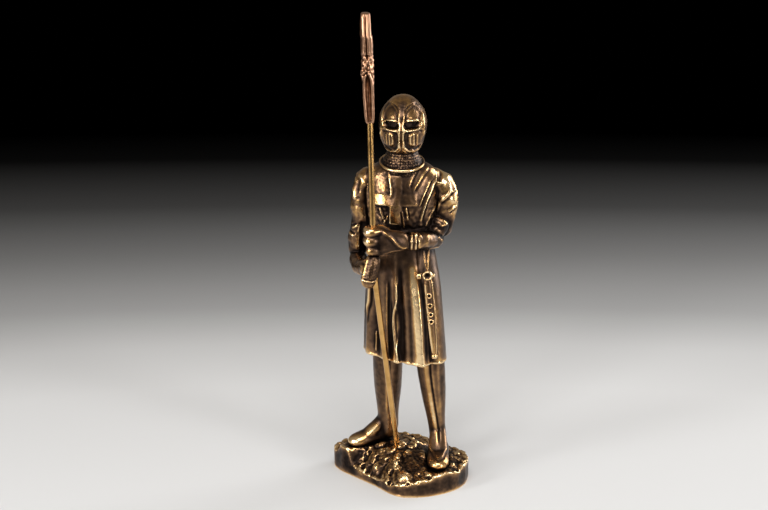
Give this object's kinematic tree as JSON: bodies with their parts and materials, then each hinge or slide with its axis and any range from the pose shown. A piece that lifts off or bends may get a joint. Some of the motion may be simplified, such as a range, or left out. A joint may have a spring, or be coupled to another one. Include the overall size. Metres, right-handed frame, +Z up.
{
  "type": "armoured warrior figurine",
  "caption": "Small standing knight cast in brass with its rough ground base, closed helm, sword at the hip, holding a tall spear with both hands.",
  "frame": {"origin": "on the flat underside of the base, under the middle of the figure", "axes": "+Z up along the figure, -Y the way the knight faces, +X towards the knight's left hand side"},
  "size_m": [0.0481, 0.0416, 0.1738],
  "materials": {
    "cast_brass": "cast brass with dark brown patina in the hollows and rubbed bright on the high spots",
    "brass_wire": "bright drawn brass wire, lightly tarnished",
    "cast_bronze": "cast metal with a redder brown patina than the figure, rubbed on its edges"
  },
  "bodies": {
    "root": {"knight": "cast_brass", "pole": "brass_wire", "spearhead": "cast_bronze"}
  },
  "joints": []
}
